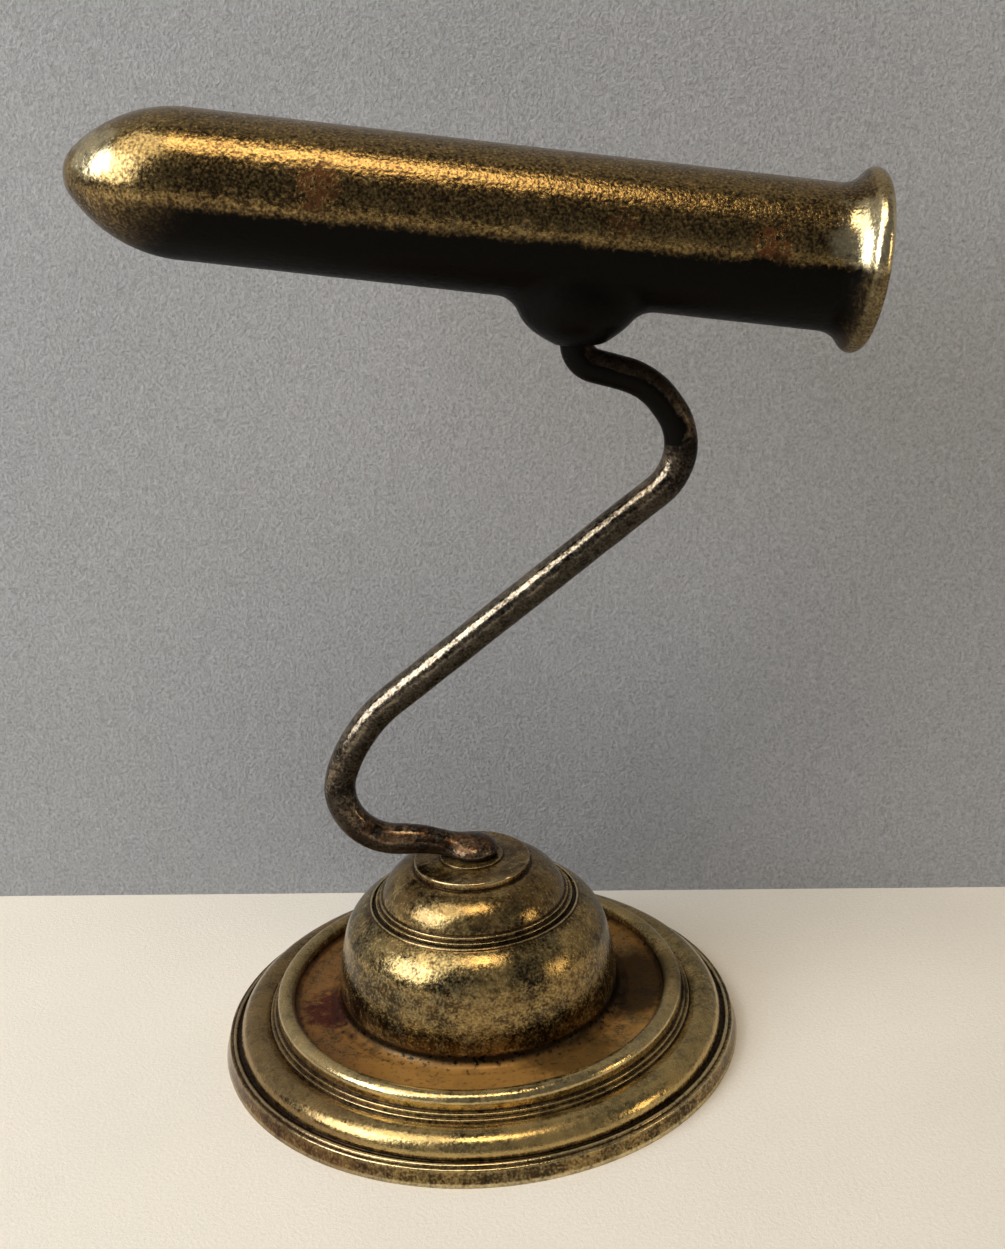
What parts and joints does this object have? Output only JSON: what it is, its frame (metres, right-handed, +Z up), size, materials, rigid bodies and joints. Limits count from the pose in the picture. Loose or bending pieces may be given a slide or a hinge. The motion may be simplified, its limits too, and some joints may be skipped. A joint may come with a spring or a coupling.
{
  "type": "goffering iron",
  "caption": "Laundry iron for crimping frills: a bullet-nosed hollow barrel carried level on a bent rod stem above a moulded round foot.",
  "frame": {"origin": "centre of the foot's round footprint, on the table that it stands on", "axes": "+Z up through the foot, +X from the nose of the barrel towards its open mouth, XZ the plane of symmetry"},
  "size_m": [0.1551, 0.1142, 0.2007],
  "materials": {
    "foot_iron": "old bronze-brown patina, polished on the high mouldings",
    "stem_iron": "dark brown patina on wrought rod, worn bright along the front",
    "fastener_iron": "dull dark scale",
    "barrel_iron": "old bronze-brown patina, smooth with fine pits"
  },
  "bodies": {
    "root": {"base": "foot_iron", "stem": "stem_iron", "stem_washer": "fastener_iron", "stem_nut": "fastener_iron", "barrel": "barrel_iron"}
  },
  "joints": []
}
